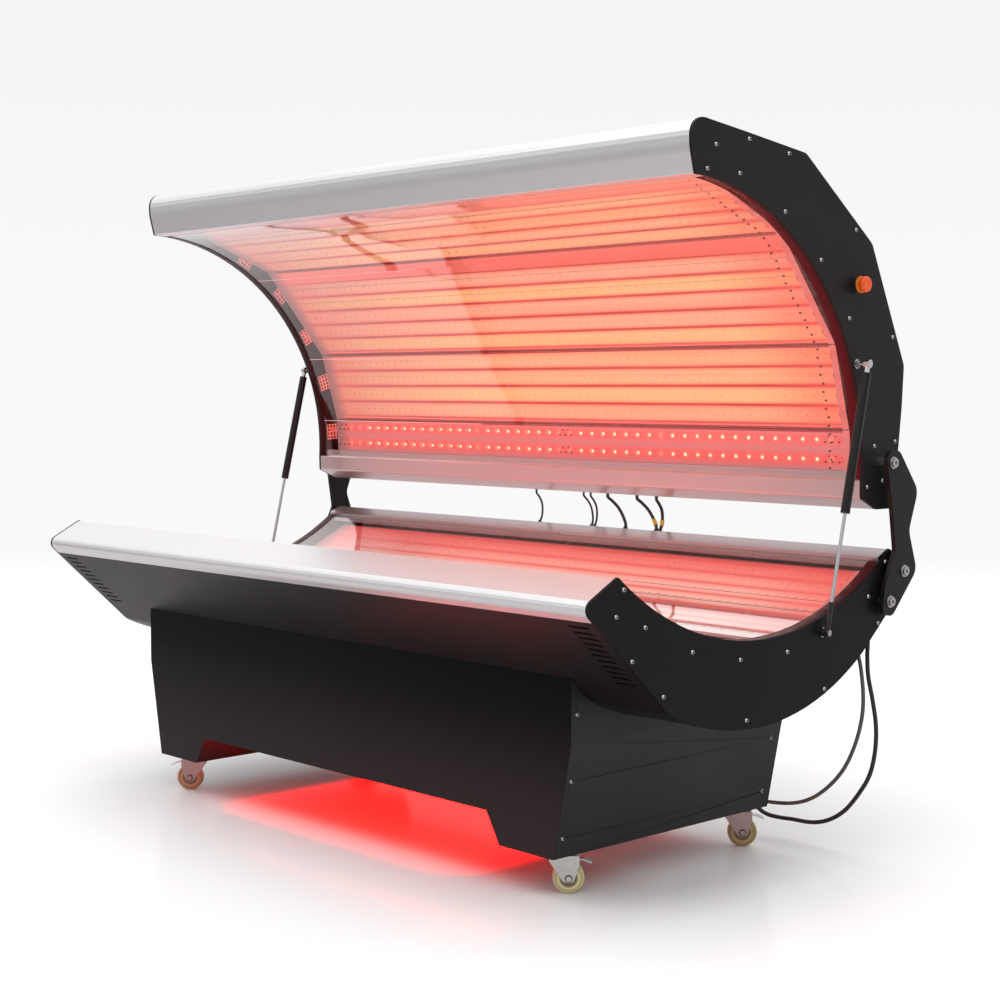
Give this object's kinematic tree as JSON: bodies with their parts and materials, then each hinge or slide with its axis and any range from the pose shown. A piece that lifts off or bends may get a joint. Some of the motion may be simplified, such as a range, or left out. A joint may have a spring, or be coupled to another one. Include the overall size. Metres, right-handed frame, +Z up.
{
  "type": "red light therapy bed",
  "caption": "Clamshell light therapy bed: LED-lined tub on a wheeled plinth, with a hinged LED canopy on gas struts.",
  "frame": {"origin": "centre of the footprint on the floor", "axes": "+X along the bed towards the emergency stop end, +Y from the open front to the hinge side, +Z up"},
  "size_m": [2.264, 1.1549, 1.7666],
  "materials": {
    "black_sheet": "satin powder coat",
    "grey_frame": "matte",
    "silver_profile": "satin anodised",
    "clear_acrylic": "clear gloss",
    "led_board": "white board with glowing red LEDs",
    "screw_steel": "bright",
    "supply_case": "plain",
    "black_plastic": "matte",
    "strut_black": "gloss",
    "strut_chrome": "polished",
    "zinc": "zinc plated",
    "tread": "translucent polyurethane",
    "grey_cable": "matte",
    "black_cable": "satin",
    "stop_orange": "gloss"
  },
  "bodies": {
    "base": {"plinth_front_panel": "black_sheet", "plinth_end_panel_right": "black_sheet", "plinth_end_panel_left": "black_sheet", "plinth_rear_panel": "black_sheet", "plinth_floor_pan": "grey_frame", "plinth_frame": "grey_frame", "underglow_strip": "silver_profile", "tub_end_plate_right": "black_sheet", "tub_end_plate_left": "black_sheet", "tub_front_profile": "silver_profile", "tub_rear_profile": "silver_profile", "tub_lower_skin": "black_sheet", "tub_acrylic": "clear_acrylic", "tub_led_boards": "led_board", "tub_ribs": "grey_frame", "base_screws": "screw_steel", "hinge_arm_right": "black_sheet", "hinge_arm_left": "black_sheet", "arm_bolts": "screw_steel", "power_supplies": "supply_case", "fan_housings": "black_plastic", "control_box": "supply_case", "strut_lower_studs": "strut_black", "cable_glands": "black_plastic", "caster_plates": "zinc", "cable_grey": "grey_cable", "cable_black": "black_cable", "canopy_cables": "black_cable"},
    "canopy": {"canopy_end_plate_right": "black_sheet", "canopy_end_plate_left": "black_sheet", "canopy_front_profile": "silver_profile", "canopy_rear_profile": "silver_profile", "canopy_back_skin": "black_sheet", "canopy_acrylic": "clear_acrylic", "canopy_led_boards": "led_board", "canopy_ribs": "grey_frame", "canopy_screws": "screw_steel", "strut_upper_studs": "screw_steel", "estop_collar": "black_plastic", "canopy_glands": "black_plastic"},
    "estop": {"estop_cap": "stop_orange"},
    "fan_right": {"fan_impeller_right": "black_plastic"},
    "fan_left": {"fan_impeller_left": "black_plastic"},
    "strut_rod_right": {"strut_rod_right": "strut_chrome"},
    "strut_rod_left": {"strut_rod_left": "strut_chrome"},
    "strut_cylinder_right": {"strut_cylinder_right": "strut_black"},
    "strut_cylinder_left": {"strut_cylinder_left": "strut_black"},
    "fork_front_right": {"caster_fork_front_right": "zinc"},
    "wheel_front_right": {"caster_wheel_front_right": "tread"},
    "pedal_front_right": {"brake_pedal_front_right": "zinc"},
    "fork_front_left": {"caster_fork_front_left": "zinc"},
    "wheel_front_left": {"caster_wheel_front_left": "tread"},
    "pedal_front_left": {"brake_pedal_front_left": "zinc"},
    "fork_rear_right": {"caster_fork_rear_right": "zinc"},
    "wheel_rear_right": {"caster_wheel_rear_right": "tread"},
    "pedal_rear_right": {"brake_pedal_rear_right": "zinc"},
    "fork_rear_left": {"caster_fork_rear_left": "zinc"},
    "wheel_rear_left": {"caster_wheel_rear_left": "tread"},
    "pedal_rear_left": {"brake_pedal_rear_left": "zinc"}
  },
  "joints": [
    {"name": "canopy_hinge", "type": "hinge", "parent": "base", "child": "canopy", "pos_m": [0, 0.473, 0.998], "axis": [1, 0, 0], "range_deg": [0, 52], "stiffness_Nm_per_rad": 300, "springref_deg": -85.94, "deforming": ["canopy_cables"]},
    {"name": "strut_swing_right", "type": "hinge", "parent": "base", "child": "strut_rod_right", "pos_m": [1.115, 0.2235, 0.6015], "axis": [1, 0, 0], "range_deg": [0, 13.5]},
    {"name": "strut_stroke_right", "type": "slide", "parent": "strut_rod_right", "child": "strut_cylinder_right", "axis": [0, 0.2294, 0.9733], "range_m": [-0.191, 0]},
    {"name": "strut_swing_left", "type": "hinge", "parent": "base", "child": "strut_rod_left", "pos_m": [-1.115, 0.2235, 0.6015], "axis": [1, 0, 0], "range_deg": [0, 13.5]},
    {"name": "strut_stroke_left", "type": "slide", "parent": "strut_rod_left", "child": "strut_cylinder_left", "axis": [0, 0.2294, 0.9733], "range_m": [-0.191, 0]},
    {"name": "estop_press", "type": "slide", "parent": "canopy", "child": "estop", "axis": [-1, 0, 0], "range_m": [0, 0.005], "stiffness_N_per_m": 2000},
    {"name": "fan_spin_right", "type": "hinge", "parent": "base", "child": "fan_right", "pos_m": [0.45, 0.391, 0.306], "axis": [0, 1, 0], "continuous": true},
    {"name": "fan_spin_left", "type": "hinge", "parent": "base", "child": "fan_left", "pos_m": [-0.45, 0.391, 0.306], "axis": [0, 1, 0], "continuous": true},
    {"name": "caster_swivel_front_right", "type": "hinge", "parent": "base", "child": "fork_front_right", "pos_m": [0.738, -0.3, 0.091], "axis": [0, 0, 1], "continuous": true},
    {"name": "wheel_spin_front_right", "type": "hinge", "parent": "fork_front_right", "child": "wheel_front_right", "pos_m": [0.75745, -0.27986, 0.0375], "axis": [0.7193, -0.6947, 0], "continuous": true},
    {"name": "brake_press_front_right", "type": "hinge", "parent": "fork_front_right", "child": "pedal_front_right", "pos_m": [0.76857, -0.26835, 0.08], "axis": [-0.7193, 0.6947, 0], "range_deg": [0, 12]},
    {"name": "caster_swivel_front_left", "type": "hinge", "parent": "base", "child": "fork_front_left", "pos_m": [-0.738, -0.3, 0.091], "axis": [0, 0, 1], "continuous": true},
    {"name": "wheel_spin_front_left", "type": "hinge", "parent": "fork_front_left", "child": "wheel_front_left", "pos_m": [-0.75745, -0.32014, 0.0375], "axis": [-0.7193, 0.6947, 0], "continuous": true},
    {"name": "brake_press_front_left", "type": "hinge", "parent": "fork_front_left", "child": "pedal_front_left", "pos_m": [-0.76857, -0.33165, 0.08], "axis": [0.7193, -0.6947, 0], "range_deg": [0, 12]},
    {"name": "caster_swivel_rear_right", "type": "hinge", "parent": "base", "child": "fork_rear_right", "pos_m": [0.738, 0.34, 0.091], "axis": [0, 0, 1], "continuous": true},
    {"name": "wheel_spin_rear_right", "type": "hinge", "parent": "fork_rear_right", "child": "wheel_rear_right", "pos_m": [0.75848, 0.3591, 0.0375], "axis": [0.682, -0.7314, 0], "continuous": true},
    {"name": "brake_press_rear_right", "type": "hinge", "parent": "fork_rear_right", "child": "pedal_rear_right", "pos_m": [0.77018, 0.37001, 0.08], "axis": [-0.682, 0.7314, 0], "range_deg": [0, 12]},
    {"name": "caster_swivel_rear_left", "type": "hinge", "parent": "base", "child": "fork_rear_left", "pos_m": [-0.738, 0.34, 0.091], "axis": [0, 0, 1], "continuous": true},
    {"name": "wheel_spin_rear_left", "type": "hinge", "parent": "fork_rear_left", "child": "wheel_rear_left", "pos_m": [-0.76431, 0.33042, 0.0375], "axis": [-0.342, 0.9397, 0], "continuous": true},
    {"name": "brake_press_rear_left", "type": "hinge", "parent": "fork_rear_left", "child": "pedal_rear_left", "pos_m": [-0.77935, 0.32495, 0.08], "axis": [0.342, -0.9397, 0], "range_deg": [0, 12]}
  ],
  "couplings": [
    {"joint": "strut_swing_right", "follows": "canopy_hinge", "ratio": 0.2571},
    {"joint": "strut_stroke_right", "follows": "canopy_hinge", "m_per_rad": -0.2073},
    {"joint": "strut_swing_left", "follows": "canopy_hinge", "ratio": 0.2571},
    {"joint": "strut_stroke_left", "follows": "canopy_hinge", "m_per_rad": -0.2073}
  ]
}
